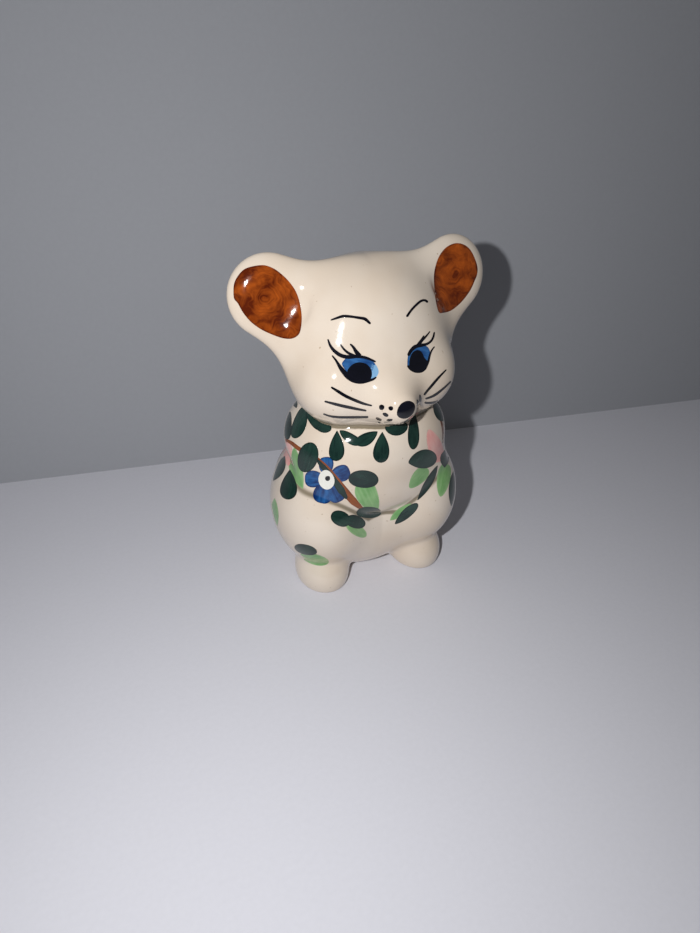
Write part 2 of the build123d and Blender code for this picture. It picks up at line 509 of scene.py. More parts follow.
pitShare = 0.06  # of the waves, in height and in roughness
brushSet = {
    "swayScale": 180.0, "cloudScale": 260.0, "lengthShare": 0.16, "laneShift": 40.0, "streakRoughness": 0.6,
    "tintSwing": 0.25, "streakHeight": 0.00002, "streakStrength": 0.5,
}
plainBrush = {"scale": 1600.0, "rimWidth": 0.00045, "warp": 0.0004, "cloud": 1.0}  # where a paint says nothing else


def glazeWaveGroup():
    # the glaze's own slow waves and fine pits, which go on under every paint
    inputs = {"Wave Scale": "number", "Pit Scale": "number", "Gloss": "number"}
    tree, given, results = shaderGroup("glazeWaves", inputs, {"Height": "number", "Roughness": "number"})
    place = objectPlace(tree)
    waves = noise(tree, place, given["Wave Scale"], 1.0)
    pits = noise(tree, place, given["Pit Scale"], 2.0)
    plug(tree, results["Height"], number(tree, "ADD", waves, number(tree, "MULTIPLY", pits, pitShare)))
    uneven = number(tree, "MULTIPLY", number(tree, "SUBTRACT", pits, 0.5), pitShare)
    plug(tree, results["Roughness"], number(tree, "ADD", given["Gloss"], uneven))
    return tree


def brushGroup():
    # a loaded brush leaves streaks along its way, a darker rim, and less colour where it lifts
    inputs = {"Full": "colour", "Thin": "colour", "Streak Scale": "number", "Streak Amount": "number",
              "Rim Width": "number", "Rim Amount": "number", "Cover": "number", "Warp": "number", "Cloud": "number"}
    tree, given, results = shaderGroup("brushStrokes", inputs, {"Colour": "colour", "Height": "number"})
    uv = tree.nodes.new("ShaderNodeUVMap")
    uv.uv_map = "stroke"
    across, along, _ = parted(tree, uv.outputs[0])
    tint = attribute(tree, "tint")
    place = objectPlace(tree)
    sway = number(tree, "SUBTRACT", noise(tree, place, brushSet["swayScale"], 2.0), 0.5)
    sway = number(tree, "MULTIPLY", sway, given["Warp"])
    across = number(tree, "ADD", across, sway)
    lane = joined(tree, across, number(tree, "MULTIPLY", along, brushSet["lengthShare"]),
                  number(tree, "MULTIPLY", tint, brushSet["laneShift"]))
    streak = noise(tree, lane, given["Streak Scale"], 3.0, brushSet["streakRoughness"])
    cloud = number(tree, "SUBTRACT", noise(tree, place, brushSet["cloudScale"], 3.0), 0.5)
    rim = number(tree, "DIVIDE", attribute(tree, "rim"), given["Rim Width"])
    rim = ramp(tree, rim, 0.0, 1.0, 1.0, 0.0)
    change = number(tree, "MULTIPLY", number(tree, "SUBTRACT", tint, 0.5), brushSet["tintSwing"])
    cover = number(tree, "ADD", given["Cover"], change)
    cloud = number(tree, "MULTIPLY", cloud, given["Cloud"])
    swing = number(tree, "ADD", number(tree, "SUBTRACT", streak, 0.5), cloud)
    cover = number(tree, "ADD", cover, number(tree, "MULTIPLY", swing, given["Streak Amount"]))
    cover = number(tree, "ADD", cover, number(tree, "MULTIPLY", rim, given["Rim Amount"]))
    clamp = tree.nodes.new("ShaderNodeClamp")
    plug(tree, clamp.inputs["Value"], cover)
    plug(tree, results["Colour"], mixed(tree, clamp.outputs[0], given["Thin"], given["Full"]))
    plug(tree, results["Height"], streak)
    return tree


def useShader(tree, inner, values):
    node = tree.nodes.new("ShaderNodeGroup")
    node.node_tree = inner
    for title, value in values.items():
        plug(tree, node.inputs[title], value)
    return node.outputs


def bumped(tree, height, distance, strength, under=None):
    node = tree.nodes.new("ShaderNodeBump")
    node.inputs["Distance"].default_value = distance
    node.inputs["Strength"].default_value = strength
    plug(tree, node.inputs["Height"], height)
    if under is not None:
        plug(tree, node.inputs["Normal"], under)
    return node.outputs[0]


def newMaterial(name):
    material = bpy.data.materials.new(name)
    material.use_nodes = True
    tree = material.node_tree
    return material, tree, tree.nodes["Principled BSDF"]


glazeLook = {
    "light": shade(226, 213, 198),
    "warm": shade(220, 204, 186),
    "glazePoolAndShadeColour": shade(134, 122, 102),  # where the glaze gathers in a crease, and painted shade in the crease as well
    "speck": shade(150, 120, 80),
    "bare": shade(226, 214, 196),    # the foot ring, wiped clean of glaze
    "gloss": 0.07, "coat": 0.25, "coatRoughness": 0.03, "ior": 1.5,
    "waveScale": 95.0, "waveHeight": 0.00012,
    "pitScale": 1500.0,
    "patchScale": 55.0, "patchFrom": 0.35, "patchTo": 0.65,
    "creaseFrom": 0.01, "creaseTo": 0.16,
    "speckScale": 1100.0, "speckFrom": 0.76, "speckTo": 0.80, "speckShare": 0.5,
    "bareFrom": 0.00004, "bareTo": 0.00022, "bareRoughness": 0.6,
}
glazeWaves, brushStrokes = glazeWaveGroup(), brushGroup()


def glossy(tree, shader, look=glazeLook):
    waves = useShader(tree, glazeWaves, {
        "Wave Scale": look["waveScale"], "Pit Scale": look["pitScale"], "Gloss": look["gloss"]})
    shader.inputs["IOR"].default_value = look["ior"]
    shader.inputs["Coat Roughness"].default_value = look["coatRoughness"]
    return waves


def glazeMaterial(look):
    material, tree, shader = newMaterial("creamGlaze")
    place = objectPlace(tree)
    waves = glossy(tree, shader)
    patch = ramp(tree, noise(tree, place, look["patchScale"], 3.0), look["patchFrom"], look["patchTo"])
    colour = mixed(tree, patch, look["light"], look["warm"])
    # pooled glaze and painted shade: darker where a point just outside the skin lies close to the clay, as in
    # creases
    glazePoolAndShadeMask = ramp(tree, attribute(tree, "crease"), look["creaseFrom"], look["creaseTo"])
    colour = mixed(tree, glazePoolAndShadeMask, colour, look["glazePoolAndShadeColour"])
    speck = ramp(tree, noise(tree, place, look["speckScale"], 1.0), look["speckFrom"], look["speckTo"])
    speck = number(tree, "MULTIPLY", speck, look["speckShare"])
    colour = mixed(tree, speck, colour, look["speck"])
    bare = ramp(tree, parted(tree, place)[2], look["bareFrom"], look["bareTo"], 1.0, 0.0)
    colour = mixed(tree, bare, colour, look["bare"])
    plug(tree, shader.inputs["Base Color"], colour)
    rough = number(tree, "ADD", waves["Roughness"], number(tree, "MULTIPLY", bare, look["bareRoughness"]))
    plug(tree, shader.inputs["Roughness"], rough)
    coat = number(tree, "MULTIPLY", number(tree, "SUBTRACT", 1.0, bare), look["coat"])
    plug(tree, shader.inputs["Coat Weight"], coat)
    plug(tree, shader.inputs["Normal"], bumped(tree, waves["Height"], look["waveHeight"], 1.0))
    return material


# full: where the colour lies thick, thin: where the cream shows through it
paints = {
    "leafDark": {"full": shade(8, 32, 30), "thin": shade(46, 80, 68), "streak": 0.7, "rim": 0.3, "cover": 0.74},
    "leafLight": {"full": shade(92, 150, 82), "thin": shade(160, 196, 140), "streak": 0.9, "rim": -0.25,
                  "cover": 0.62},
    "petalBlue": {"full": shade(0, 38, 92), "thin": shade(48, 118, 186), "streak": 1.1, "rim": 0.35, "cover": 0.68,
                  "cloud": 1.4},
    "petalPink": {"full": shade(234, 142, 138), "thin": shade(244, 202, 192), "streak": 0.8, "rim": -0.1,
                  "cover": 0.55},
    "stemBrown": {"full": shade(104, 42, 6), "thin": shade(164, 92, 36), "streak": 0.9, "rim": 0.2, "cover": 0.62},
    "earBrown": {"full": shade(86, 26, 0), "thin": shade(184, 88, 22), "streak": 1.3, "rim": 0.25, "cover": 0.62,
                 "scale": 1000.0, "rimWidth": 0.0006, "warp": 0.012, "cloud": 1.3},
    "irisBlue": {"full": shade(10, 48, 104), "thin": shade(74, 138, 200), "streak": 0.8, "rim": 0.2, "cover": 0.62},
    "irisPale": {"full": shade(84, 140, 190), "thin": shade(150, 190, 220), "streak": 0.6, "rim": 0.0, "cover": 0.5},
    "lineBlack": {"full": shade(5, 6, 14), "thin": shade(20, 22, 38), "streak": 0.5, "rim": -0.1, "cover": 0.85},
    "centreWhite": {"full": shade(240, 238, 230), "thin": shade(222, 222, 214), "streak": 0.5, "rim": 0.0,
                    "cover": 0.6},
    "lipRed": {"full": shade(150, 70, 66), "thin": shade(206, 150, 138), "streak": 0.6, "rim": 0.0, "cover": 0.6},
}


def paintMaterial(name, look):
    material, tree, shader = newMaterial(name)
    waves = glossy(tree, shader)
    look = {**plainBrush, **look}
    brush = useShader(tree, brushStrokes, {
        "Full": look["full"], "Thin": look["thin"], "Streak Scale": look["scale"], "Streak Amount": look["streak"],
        "Rim Width": look["rimWidth"], "Rim Amount": look["rim"], "Cover": look["cover"], "Warp": look["warp"],
        "Cloud": look["cloud"]})
    plug(tree, shader.inputs["Base Color"], brush["Colour"])
    plug(tree, shader.inputs["Roughness"], waves["Roughness"])
    shader.inputs["Coat Weight"].default_value = glazeLook["coat"]
    normal = bumped(tree, waves["Height"], glazeLook["waveHeight"], 1.0)
    plug(tree, shader.inputs["Normal"], bumped(
        tree, brush["Height"], brushSet["streakHeight"], brushSet["streakStrength"], normal))
    return material


creamGlaze = glazeMaterial(glazeLook)
paintMaterials = {name: paintMaterial(name, look) for name, look in paints.items()}
skin = skinMesh(creamGlaze)
print("skin made,", len(skin.polygons), "faces")


def addPiece(name, mesh, *nodes):
    piece = bpy.data.objects.new(name, mesh)
    bpy.context.scene.collection.objects.link(piece)
    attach(piece, "root")
    if nodes:
        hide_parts(*nodes)
    return piece


# The skin is cut into the pieces of clay. A row of the cloud is a point of the skin:
# its place, the way it faces, its crease, and how far it is from each form.
creaseColumn, firstGapColumn = 6, 7
seamSet = {"width": 0.6, "lift": 0.07}  # width in mm
tiny = {"cut": 1e-8, "length": 1e-12, "step": 1e-9, "point": 1e-6}  # below these a measure counts as nothing


def skinCloud(mesh):
    count = len(mesh.vertices)
    columns = []
    for name, width in (("position", 3), ("outward", 3), ("crease", 1), *(("near" + r, 1) for r in regions)):
        values = np.empty(count * width, dtype=np.float32)
        mesh.attributes[name].data.foreach_get("vector" if width == 3 else "value", values)
        columns.append(values.reshape(count, width))
    mesh.calc_loop_triangles()
    faces = np.empty(len(mesh.loop_triangles) * 3, dtype=np.int32)
    mesh.loop_triangles.foreach_get("vertices", faces)
    return np.hstack(columns).astype(float), faces.reshape(-1, 3)


def gapTo(cloud, *names):
    return np.minimum.reduce([cloud[:, firstGapColumn + regions.index(name)] for name in names])


def cutFaces(cloud, faces, side):
    # faces on the plus side, faces on the minus side, and the cloud with the points along the cut
    side = np.where(np.abs(side) < tiny["cut"], tiny["cut"], side)
    plus = side[faces] > 0
    count = plus.sum(axis=1)
    ahead, behind = faces[count == 3].tolist(), faces[count == 0].tolist()
    rows, made = [], {}

    def between(a, b):
        key = (a, b) if a < b else (b, a)
        if key not in made:
            share = side[a] / (side[a] - side[b])
            made[key] = len(cloud) + len(rows)
            rows.append(cloud[a] * (1 - share) + cloud[b] * share)
        return made[key]

    for face, signs in zip(faces[(count > 0) & (count < 3)].tolist(), plus[(count > 0) & (count < 3)]):
        lone = next(k for k in range(3) if signs[k] != signs[k - 1] and signs[k] != signs[k - 2])
        a, b, c = face[lone], face[lone - 2], face[lone - 1]
        ab, ca = between(a, b), between(c, a)
        tip, rest = [(a, ab, ca)], [(ab, b, c), (ab, c, ca)]
        (ahead if signs[lone] else behind).extend(tip)
        (behind if signs[lone] else ahead).extend(rest)
    if rows:
        cloud = np.vstack([cloud, np.array(rows)])
    return np.array(ahead), np.array(behind), cloud


def openEdges(faces):
    edges = {}
    for a, b, c in faces:
        for start, end in ((a, b), (b, c), (c, a)):
            if edges.pop((end, start), None) is None:
                edges[(start, end)] = True
    return list(edges)


def openLoops(faces):
    following = dict(openEdges(faces.tolist()))
    loops = []
    while following:
        start, here = following.popitem()
        loop = [start]
        while here != start:
            loop.append(here)
            here = following.pop(here)
        loops.append(loop)
    return loops


def clayPiece(name, cloud, faces, material, *nodes):
    # the skin of one piece, closed inside the figure where it meets its neighbours
    used, index = np.unique(faces, return_inverse=True)
    rows, faces = cloud[used], index.reshape(-1, 3)
    points = rows[:, :3].tolist()
    outward = rows[:, 3:6]
    corners = outward[faces.reshape(-1)].tolist()
    allFaces = faces.tolist()
    for loop in openLoops(faces):
        middle = rows[loop, :3].mean(axis=0)
        points.append(middle.tolist())
        for a, b in zip(loop, loop[1:] + loop[:1]):
            allFaces.append((b, a, len(points) - 1))
            flat = np.cross(rows[a, :3] - rows[b, :3], middle - rows[b, :3])
            flat = flat / max(np.linalg.norm(flat), tiny["length"])
            corners.extend([flat.tolist()] * 3)
    mesh = bpy.data.meshes.new(name)
    mesh.from_pydata(points, [], allFaces)
    crease = mesh.attributes.new("crease", "FLOAT", "POINT")
    crease.data.foreach_set("value", rows[:, creaseColumn].tolist() + [0.0] * (len(points) - len(rows)))
    mesh.materials.append(material)
    mesh.polygons.foreach_set("use_smooth", [True] * len(mesh.polygons))
    mesh.normals_split_custom_set(corners)
    print("  ", name, len(allFaces), "faces")
    return addPiece(name, mesh, *nodes)


def leftAndRight(cloud, faces):
    isLeft = cloud[faces][:, :, 0].mean(axis=1) > 0
    return faces[isLeft], faces[~isLeft]


def seamPoolAndShade(cloud, seams):
    # pooled glaze and painted shade along the seams where head, chest and belly meet, and not where one form turns
    # sharply
    chest = gapTo(cloud, "Chest")
    seam = np.minimum(np.abs(chest - gapTo(cloud, "Head")), np.abs(chest - gapTo(cloud, "Belly", "Haunch")))
    nearSeam = np.exp(-(seam / (seams["width"] * mm)) ** 2)
    cloud[:, creaseColumn] = (cloud[:, creaseColumn] + seams["lift"]) * nearSeam


cloud, faces = skinCloud(skin)
seamPoolAndShade(cloud, seamSet)
side = gapTo(cloud, "Chest", "Belly", "Haunch", "Foot") - gapTo(cloud, "Head", "Ear")
upper, lower, cloud = cutFaces(cloud, faces, side)
ears, head, cloud = cutFaces(cloud, upper, gapTo(cloud, "Head") - gapTo(cloud, "Ear"))
chest, hips, cloud = cutFaces(cloud, lower, gapTo(cloud, "Belly", "Haunch", "Foot") - gapTo(cloud, "Chest"))
feet, hips, cloud = cutFaces(cloud, hips, gapTo(cloud, "Belly", "Haunch") - gapTo(cloud, "Foot"))
haunches, belly, cloud = cutFaces(cloud, hips, gapTo(cloud, "Belly") - gapTo(cloud, "Haunch"))
clayPiece("glazedHead", cloud, head, creamGlaze, "head")
clayPiece("glazedChest", cloud, chest, creamGlaze, "chest")
clayPiece("glazedBelly", cloud, belly, creamGlaze, "belly")
for name, node, both in (("Ear", "ear", ears), ("Haunch", "haunch", haunches), ("Foot", "foot", feet)):
    for where, part in zip(("Left", "Right"), leftAndRight(cloud, both)):
        clayPiece("glazed" + name + where, cloud, part, creamGlaze, node + "_" + where.lower())
print("clay pieces made")

# Paint. Each dab or line is drawn flat, in picture pixels or in mm, and then laid on the glaze
# along the lines of sight, as a thin closed film.


class Drawing:
    def __init__(self, ray, tree, unit, step):
        self.ray, self.tree, self.unit, self.step = ray, tree, unit, step


skinPoints = [Vector(row) for row in cloud[:, :3]]
skinOutward = [Vector(row) for row in cloud[:, 3:6]]


def skinTreeOf(faces):
    faces = faces.tolist()
    return BVHTree.FromPolygons(skinPoints, faces), faces


bodyTree = skinTreeOf(np.vstack([chest, belly, haunches, feet]))
headTree = skinTreeOf(np.vstack([head, ears]))


def photoRay(x, y):
    right, up, ahead = cameraAxes(cameraSet)
    width, height = cameraSet["imageSize"]
    aside = right * (x - width / 2) / cameraSet["focalPixels"]
    above = up * (height / 2 - y) / cameraSet["focalPixels"]
    return cameraPlace(cameraSet), (ahead + aside + above).normalized()


sideSet = {"axisBack": 2.0, "standOff": 80.0}  # the line that side views look at, and from how far, in mm


def sideRay(swing, height, turn=0.0, rise=0.0):
    # a level look at the figure from any side, in mm about a point on its skin
    swing, rise, turn = math.radians(swing), math.radians(rise), math.radians(turn)
    toward = Vector((-math.sin(swing) * math.cos(rise), math.cos(swing) * math.cos(rise), -math.sin(rise)))
    right = Vector((math.cos(swing), math.sin(swing), 0.0))
    up = right.cross(toward)
    start = Vector((0.0, sideSet["axisBack"], height)) - toward * sideSet["standOff"]

    def ray(x, y):
        flatX = x * math.cos(turn) - y * math.sin(turn)
        flatY = x * math.sin(turn) + y * math.cos(turn)
        return (start + right * flatX + up * flatY) * mm, toward

    return ray


def smoothLine(points, step, closed=False):
    # a smooth line through all the points, as even short runs
    points = [Vector(p).to_2d() for p in points]
    count = len(points)
    line = []
    for k in range(count if closed else count - 1):
        if closed:
            p0, p1, p2, p3 = (points[(k + n) % count] for n in (-1, 0, 1, 2))
        else:
            p0, p1, p2, p3 = (points[min(max(k + n, 0), count - 1)] for n in (-1, 0, 1, 2))
        runs = max(int((p2 - p1).length / step), 1)
        for n in range(runs):
            t = n / runs
            bow = (p2 - p0) * t + (2 * p0 - 5 * p1 + 4 * p2 - p3) * t * t + (3 * p1 - p0 - 3 * p2 + p3) * t ** 3
            line.append(p1 + bow * 0.5)
    if not closed:
        line.append(points[-1])
    return line


dabShapes = {  # how the width grows from the start and falls to the end
    "drop": (1.0, 0.5), "seed": (0.72, 0.5), "oval": (0.5, 0.5), "lens": (0.9, 0.9), "fan": (0.6, 0.36)}


def dabOutline(start, end, width, shape="drop", bend=0.0, step=0.7):
    start, end = Vector(start), Vector(end)
    grow, fall = dabShapes[shape]
    most = (grow / (grow + fall)) ** grow * (fall / (grow + fall)) ** fall
    way = end - start
    beside = Vector((-way.y, way.x)).normalized()
    runs = max(int(way.length / step), 10)
    left, right = [], []
    for k in range(runs + 1):
        t = 0.5 - 0.5 * math.cos(math.pi * k / runs)
        middle = start + way * t + beside * (4 * bend * t * (1 - t))
        half = beside * (width / 2 * t ** grow * (1 - t) ** fall / most)
        left.append(middle + half)
        right.append(middle - half)
    return left + right[-2:0:-1]


tipShare = 0.4  # how far a line's round tip reaches, of its width


def lineOutline(points, widths, step=0.6):
    # a line of a pointed brush, with its width given at even places along it
    line = smoothLine(points, step)
    left, right = [], []
    for k, here in enumerate(line):
        before, after = line[max(k - 1, 0)], line[min(k + 1, len(line) - 1)]
        way = (after - before).normalized()
        place = k / (len(line) - 1) * (len(widths) - 1)
        low = min(int(place), len(widths) - 2)
        width = widths[low] + (widths[low + 1] - widths[low]) * (place - low)
        half = Vector((-way.y, way.x)) * (width / 2)
        if k == 0:
            left.append(here - way * width * tipShare)
        left.append(here + half)
        right.append(here - half)
        if k == len(line) - 1:
            left.append(here + way * width * tipShare)
    return left + right[::-1]


def unevenEdge(outline, amount, chance):
    # a hand never draws a clean curve
    phases = [chance.uniform(0, 2 * math.pi) for _ in range(3)]
    count = len(outline)
    result = []
    for k, here in enumerate(outline):
        way = outline[(k + 1) % count] - outline[k - 1]
        turn = 2 * math.pi * k / count
        push = sum(math.sin((2 + n) * turn + phase) / (2 + n) for n, phase in enumerate(phases))
        result.append(here + Vector((-way.y, way.x)).normalized() * (push * amount))
    return result


def evenOutline(outline, step):
    # the same closed line, in steps of nearly the same length
    lengths = [(outline[k] - outline[k - 1]).length for k in range(len(outline))]
    total = sum(lengths)
    count = max(int(total / step), 8)
    result, k, passed = [], 0, 0.0
    for n in range(count):
        goal = total * n / count
        while passed + lengths[(k + 1) % len(outline)] < goal:
            passed += lengths[(k + 1) % len(outline)]
            k += 1
        here, after = outline[k % len(outline)], outline[(k + 1) % len(outline)]
        share = (goal - passed) / max(lengths[(k + 1) % len(outline)], tiny["step"])
        result.append(here.lerp(after, share))
    return result


def edgeGaps(points, outline):
    # how far each point is from the outline, and whether it is inside
    a = np.array([tuple(p) for p in outline])
    b = np.roll(a, -1, axis=0)
    p = np.array(points)[:, None, :]
    run = b - a
    share = np.clip(((p - a) * run).sum(axis=2) / np.maximum((run * run).sum(axis=1), tiny["length"]), 0, 1)
    gaps = np.linalg.norm(p - a - share[:, :, None] * run, axis=2).min(axis=1)
    high, low = a[:, 1] > p[:, :, 1], b[:, 1] > p[:, :, 1]
    with np.errstate(divide="ignore", invalid="ignore"):
        crossing = a[:, 0] + (p[:, :, 1] - a[:, 1]) / (b[:, 1] - a[:, 1]) * run[:, 0]
    inside = ((high != low) & (p[:, :, 0] < crossing)).sum(axis=1) % 2 == 1
    return gaps, inside


fillSet = {"rowHeight": 0.87, "edgeRoom": 0.55}  # both of the step between points


def filled(outline, step):
    # flat triangles inside the outline, with points in even rows
    corners = np.array([tuple(p) for p in outline])
    low, high = corners.min(axis=0), corners.max(axis=0)
    rows = [(x + (step / 2 if k % 2 else 0.0), y)
            for k, y in enumerate(np.arange(low[1], high[1], step * fillSet["rowHeight"]))
            for x in np.arange(low[0], high[0], step)]
    inner = []
    if rows:
        gaps, inside = edgeGaps(rows, outline)
        inner = [row for row, gap, within in zip(rows, gaps, inside)
                 if within and gap > fillSet["edgeRoom"] * step]
    flat = [Vector(p) for p in outline] + [Vector(p) for p in inner]
    points, _, triangles, _, _, _ = delaunay_2d_cdt(flat, [], [list(range(len(outline)))], 1, tiny["point"])
    gaps, _ = edgeGaps([tuple(p) for p in points], outline)
    return points, triangles, gaps


films = {}
filmSet = {"lift": 0.030, "layerLift": 0.014, "bead": 0.012, "beadWidth": 0.35, "sink": 0.05, "uneven": 0.35,
           "leastFacing": 0.16, "longestSteps": 6, "seedStep": 97}


def layFilm(piece, paint, drawing, outline, way=None, layer=0, uneven=None, middle=None):
    # adds one closed film of paint to a piece; with a middle, the brush went round it
    chance = random.Random(len(films) * filmSet["seedStep"] + sum(len(f["tint"]) for f in films.values()))
    uneven = filmSet["uneven"] if uneven is None else uneven
    outline = evenOutline(unevenEdge(outline, uneven * drawing.step, chance), drawing.step)
    flat, triangles, gaps = filled(outline, drawing.step)
    tree, treeFaces = drawing.tree
    film = films.setdefault(piece, {
        "paint": paint, "points": [], "faces": [], "outward": [], "rim": [], "tint": [], "uv": []})
    start, end = way or (outline[0], outline[len(outline) // 2])
    along = (Vector(end) - Vector(start)).normalized()
    across = Vector((-along.y, along.x))
    tint = chance.random()
    top, index = [], {}
    for k, spot in enumerate(flat):
        origin, toward = drawing.ray(spot.x, spot.y)
        place, _, face, _ = tree.ray_cast(origin, toward)
        if place is None:
            continue
        corners = treeFaces[face]
        weights = poly_3d_calc([skinPoints[c] for c in corners], place)
        outward = sum((skinOutward[c] * w for c, w in zip(corners, weights)), Vector()).normalized()
        if outward.dot(toward) > -filmSet["leastFacing"]:
            continue  # the skin turns away here, and a film would be drawn out into threads
        rim = gaps[k] * drawing.unit
        bead = filmSet["bead"] * min(rim / filmSet["beadWidth"], 1.0)
        lift = filmSet["lift"] + filmSet["layerLift"] * layer + bead
        index[k] = len(top)
        away = spot - Vector(middle or start)
        uv = Vector((away.dot(across), away.dot(along)))
        if middle:
            uv = Vector((uv.length, uv.length * abs(math.atan2(uv.x, uv.y))))
        uv = tuple(uv * drawing.unit * mm)
        top.append((place + outward * lift * mm, place - outward * filmSet["sink"] * mm, outward, rim * mm, uv))
    kept = [tuple(index[c] for c in t) for t in triangles if all(c in index for c in t)]
    limit = filmSet["longestSteps"] * drawing.step * drawing.unit * mm
    kept = [t for t in kept if max((top[t[k]][0] - top[t[k - 1]][0]).length for k in range(3)) < limit]
    if not kept:
        return
    turned = []
    for a, b, c in kept:
        normal = (top[b][0] - top[a][0]).cross(top[c][0] - top[a][0])
        turned.append((a, b, c) if normal.dot(top[a][2]) > 0 else (a, c, b))
    base, count = len(film["points"]), len(top)
    for row in top:
        film["points"].append(row[0])
    for row in top:
        film["points"].append(row[1])
    film["outward"] += [row[2] for row in top] * 2
    film["rim"] += [row[3] for row in top] * 2
    film["uv"] += [row[4] for row in top] * 2
    film["tint"] += [tint] * (2 * count)
    film["faces"] += [tuple(base + c for c in t) for t in turned]
    film["faces"] += [tuple(base + count + c for c in reversed(t)) for t in turned]
    for a, b in openEdges(turned):
        film["faces"].append((base + b, base + a, base + count + a, base + count + b))


def paintPieces():
    for name, film in films.items():
        mesh = bpy.data.meshes.new(name)
        mesh.from_pydata(film["points"], [], film["faces"])
        for title in ("rim", "tint"):
            mesh.attributes.new(title, "FLOAT", "POINT").data.foreach_set("value", film[title])
        uvs = mesh.uv_layers.new(name="stroke")
        corners = [loop.vertex_index for loop in mesh.loops]
        uvs.data.foreach_set("uv", [v for c in corners for v in film["uv"][c]])
        mesh.materials.append(paintMaterials[film["paint"]])
        mesh.polygons.foreach_set("use_smooth", [True] * len(mesh.polygons))
        mesh.normals_split_custom_set([film["outward"][c] for c in corners])
        addPiece(name, mesh)
        print("  ", name, len(mesh.polygons), "faces")


# One pixel of the picture is about a quarter of a mm on the figure.
photoOnBody = Drawing(photoRay, bodyTree, unit=0.26, step=0.9)
photoOnHead = Drawing(photoRay, headTree, unit=0.255, step=0.9)
photoFine = Drawing(photoRay, headTree, unit=0.255, step=0.62)
photoAtEdge = Drawing(photoRay, bodyTree, unit=0.26, step=0.5)
middleOfBody = (298, 428)  # between these pixels the body faces the camera


def dab(piece, paint, drawing, start, end, width, shape="drop", bend=0.0, layer=0, uneven=None):
    outline = dabOutline(start, end, width, shape, bend, drawing.step)
    layFilm(piece, paint, drawing, outline, (start, end), layer, uneven)


# Leaves, as seen in the picture: start, end, width, shape and bend, all in its pixels
darkLeaves = [
    ((293.5, 398.5), (296.5, 408), 5, "lens", 0),
    ((304.5, 406), (294, 438), 14, "seed", -1.0),
    ((290, 411), (287.5, 439.5), 9, "seed", 1.5),
    ((305.5, 408), (322, 430), 9.5, "seed", 1.0),
    ((314, 421), (331, 430), 13, "oval", 0),
    ((337, 430.5), (336.5, 461), 15.5, "drop", 0),
    ((339.5, 430.5), (362, 443.5), 10.5, "seed", 1.5),
    ((377.5, 431.5), (355, 443.5), 12, "seed", -1.5),
    ((382.5, 432), (380.5, 462.5), 16.5, "drop", 0),
    ((385, 428.5), (408, 425.5), 15, "oval", 1.0),
    ((414, 414), (413, 449.5), 11.5, "seed", 0),
    ((434, 401.5), (443.5, 421), 10, "seed", 0),
    ((312.5, 442.5), (303.5, 472), 20, "oval", 0),
    ((348.5, 479), (378.5, 480), 17.8, "oval", -0.6),
    ((356.5, 513), (381, 512.5), 11.8, "oval", -0.5),
    ((331.5, 513.5), (349.5, 523.5), 15, "oval", 0),
    ((345.5, 519), (365, 524.5), 13.2, "oval", 0),
    ((290, 469.5), (288, 499.5), 17, "drop", 0),
    ((285, 456), (270.5, 482), 10.5, "lens", -1.0),
    ((294.5, 546.5), (317, 552.5), 9.8, "oval", 0),
    ((408.5, 463), (436.5, 456.5), 18.5, "seed", -0.5),
    ((437.5, 465.5), (417.5, 500), 7.5, "lens", -0.8),
    ((446.5, 449), (444.5, 467.5), 9, "lens", 1.0),
    ((395, 524), (417.5, 503.5), 9.5, "seed", 0),
    ((453.5, 471), (451, 506), 7, "lens", 0),
]
lightLeaves = [
    ((294.5, 447), (303, 489), 13, "lens", 3.0),
    ((376.5, 511.5), (362, 481), 22, "fan", -1.5),
    ((346.5, 523), (366, 536.5), 11, "oval", 0),
    ((300.5, 554), (329, 562.5), 10.5, "oval", 1.0),
    ((409.5, 487.5), (427, 468), 13.5, "fan", 0),
    ((440.5, 496.5), (446, 464), 13.5, "fan", 0),
    ((390, 520.5), (411, 503.5), 8, "lens", 0),
    ((274.5, 498), (273.5, 536), 9, "lens", 0),
]
pinkPetals = [
    ((285.5, 439), (289.5, 466), 10, "oval", 0),
    ((429, 429.5), (438.5, 462), 15, "fan", -1.0),
]
petals = [((327, 475), (325.5, 457), 15, "fan"), ((330, 478), (349.5, 470), 16.5, "fan"),
          ((326, 479), (305, 479), 17, "fan"), ((326, 481), (321, 503), 19.5, "fan"),
          ((330, 481), (340, 501.5), 17.5, "fan")]


def seenAt(start):
    # nearer the outline of the figure, where it turns away, the points lie closer
    return photoOnBody if middleOfBody[0] < start[0] < middleOfBody[1] else photoAtEdge


for start, end, width, shape, bend in lightLeaves:
    dab("leavesLight", "leafLight", seenAt(start), start, end, width, shape, bend)
for start, end, width, shape, bend in pinkPetals:
    dab("flowersPink", "petalPink", seenAt(start), start, end, width, shape, bend)
for start, end, width, shape in petals:
    dab("flowerBlue", "petalBlue", photoOnBody, start, end, width, shape)
dab("flowerBlue", "petalBlue", photoOnBody, (319, 478), (335, 482), 15, "oval")
layFilm("stems", "stemBrown", photoOnBody, lineOutline(
    [(284.5, 439.5), (291, 442.5), (299, 448.5), (309, 453.5), (317.5, 459), (327, 468), (336, 479.5), (345, 491.5),
     (353, 501), (363.5, 510)], (3.2, 4, 3.6, 3.4, 5, 6.5, 7.5, 7.5, 2)), layer=1)
layFilm("leavesDark", "leafDark", photoOnBody, lineOutline(
    [(317, 459.5), (323, 466.5), (330, 474), (336, 483), (342.5, 492), (346.5, 498)],
    (2, 5.5, 5, 6, 7.5, 3)), layer=2)
for start, end, width, shape, bend in darkLeaves:
    dab("leavesDark", "leafDark", seenAt(start), start, end, width, shape, bend, 2)
dab("flowerHeart", "centreWhite", photoOnBody, (325, 470), (328, 489.5), 15.5, "oval", 0, 3)
dab("flowerDot", "lineBlack", photoOnBody, (325.3, 478), (330.2, 478.5), 5.5, "oval", 0, 4)
layFilm("stems", "stemBrown", photoOnBody, lineOutline(
    [(439.5, 417), (442, 424), (443, 433), (443.3, 446)], (1, 1.8, 1.8, 1)), layer=1)

